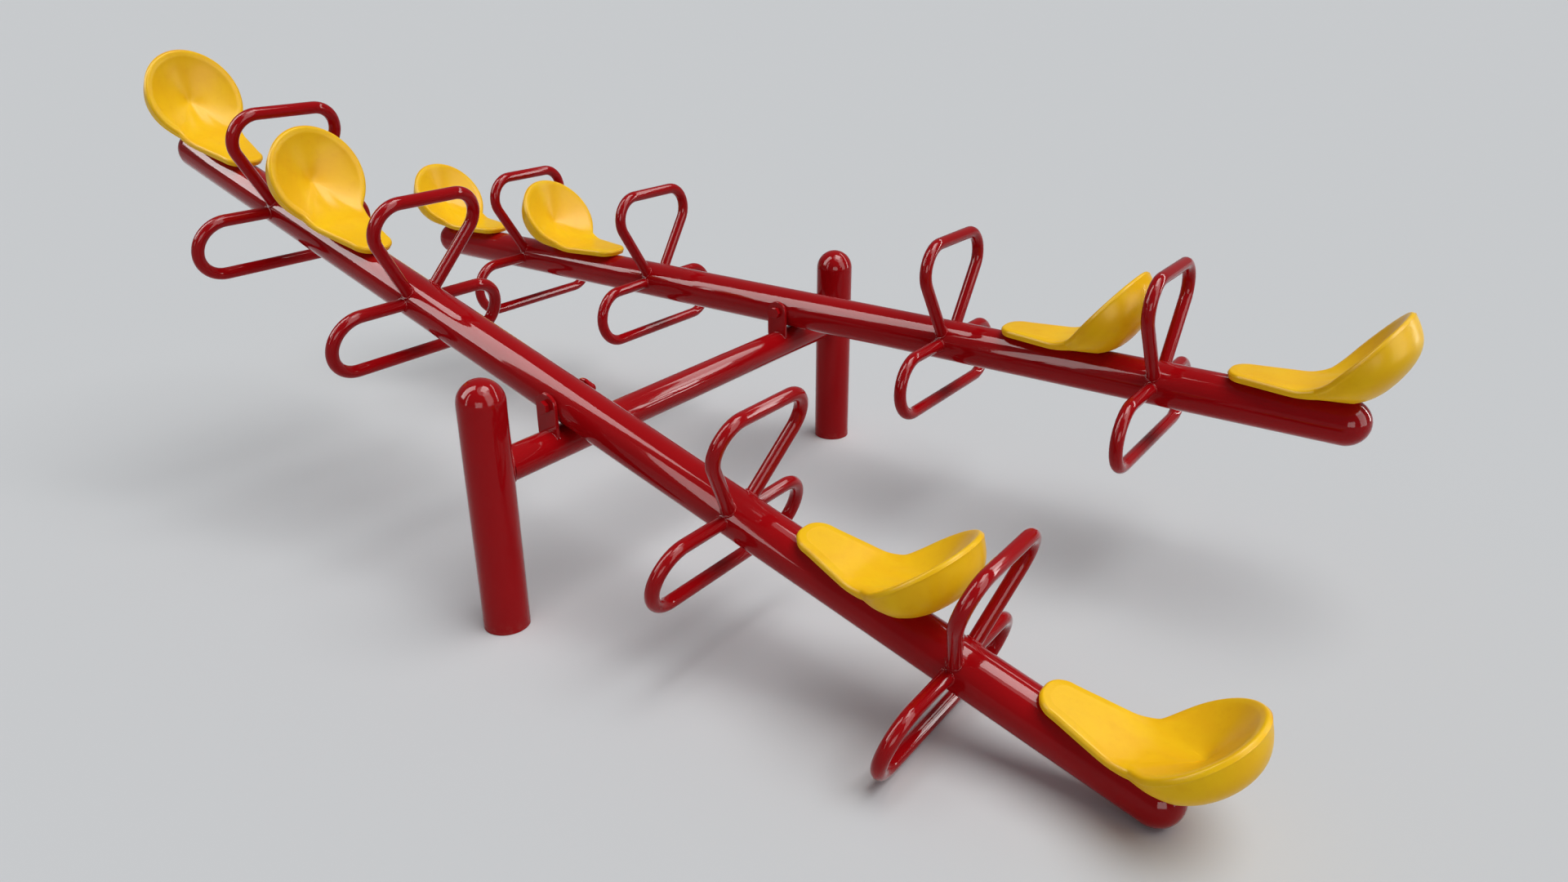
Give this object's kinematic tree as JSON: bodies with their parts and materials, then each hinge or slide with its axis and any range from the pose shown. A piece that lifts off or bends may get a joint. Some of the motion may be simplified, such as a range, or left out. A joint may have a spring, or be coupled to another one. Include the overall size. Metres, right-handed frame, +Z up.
{
  "type": "playground seesaw",
  "caption": "Playground seesaw: swinging tube beams on a low crossbar between two domed posts, with bucket seats, grab hoops and footrest loops.",
  "frame": {"origin": "on the ground, midway between the two posts", "axes": "+Z up, +Y along the crossbar to the far post, +X along the beams to the end of the near beam that rests on the ground"},
  "size_m": [3.4264, 1.5794, 1.2686],
  "materials": {
    "red_paint": "gloss",
    "yellow_plastic": "gloss",
    "bush_nylon": "matte",
    "zinc_steel": "satin"
  },
  "bodies": {
    "frame": {"crossbar": "red_paint", "near_post_tube": "red_paint", "near_post_dome": "red_paint", "near_ear_outer": "red_paint", "near_ear_inner": "red_paint", "near_pivot_bolt": "red_paint", "near_pivot_washer": "red_paint", "near_pivot_nut": "red_paint", "far_post_tube": "red_paint", "far_post_dome": "red_paint", "far_ear_outer": "red_paint", "far_ear_inner": "red_paint", "far_pivot_bolt": "red_paint", "far_pivot_washer": "red_paint", "far_pivot_nut": "red_paint"},
    "near_beam": {"near_beam_tube": "red_paint", "near_pivot_sleeve": "red_paint", "near_bush_outer": "bush_nylon", "near_bush_inner": "bush_nylon", "near_beam_cap_a": "red_paint", "near_handle_a_inner": "red_paint", "near_footrest_a_inner": "red_paint", "near_seat_a_inner": "yellow_plastic", "near_seat_stud_a_inner": "zinc_steel", "near_handle_a_outer": "red_paint", "near_footrest_a_outer": "red_paint", "near_seat_a_outer": "yellow_plastic", "near_seat_stud_a_outer": "zinc_steel", "near_beam_cap_b": "red_paint", "near_handle_b_inner": "red_paint", "near_footrest_b_inner": "red_paint", "near_seat_b_inner": "yellow_plastic", "near_seat_stud_b_inner": "zinc_steel", "near_handle_b_outer": "red_paint", "near_footrest_b_outer": "red_paint", "near_seat_b_outer": "yellow_plastic", "near_seat_stud_b_outer": "zinc_steel"},
    "far_beam": {"far_beam_tube": "red_paint", "far_pivot_sleeve": "red_paint", "far_bush_outer": "bush_nylon", "far_bush_inner": "bush_nylon", "far_beam_cap_a": "red_paint", "far_handle_a_inner": "red_paint", "far_footrest_a_inner": "red_paint", "far_seat_a_inner": "yellow_plastic", "far_seat_stud_a_inner": "zinc_steel", "far_handle_a_outer": "red_paint", "far_footrest_a_outer": "red_paint", "far_seat_a_outer": "yellow_plastic", "far_seat_stud_a_outer": "zinc_steel", "far_beam_cap_b": "red_paint", "far_handle_b_inner": "red_paint", "far_footrest_b_inner": "red_paint", "far_seat_b_inner": "yellow_plastic", "far_seat_stud_b_inner": "zinc_steel", "far_handle_b_outer": "red_paint", "far_footrest_b_outer": "red_paint", "far_seat_b_outer": "yellow_plastic", "far_seat_stud_b_outer": "zinc_steel"}
  },
  "joints": [
    {"name": "near_pivot", "type": "hinge", "parent": "frame", "child": "near_beam", "pos_m": [0, -0.477, 0.518], "axis": [0, 1, 0], "range_deg": [-33.57, 0]},
    {"name": "far_pivot", "type": "hinge", "parent": "frame", "child": "far_beam", "pos_m": [0, 0.477, 0.518], "axis": [0, 1, 0], "range_deg": [-16.78, 16.78]}
  ]
}
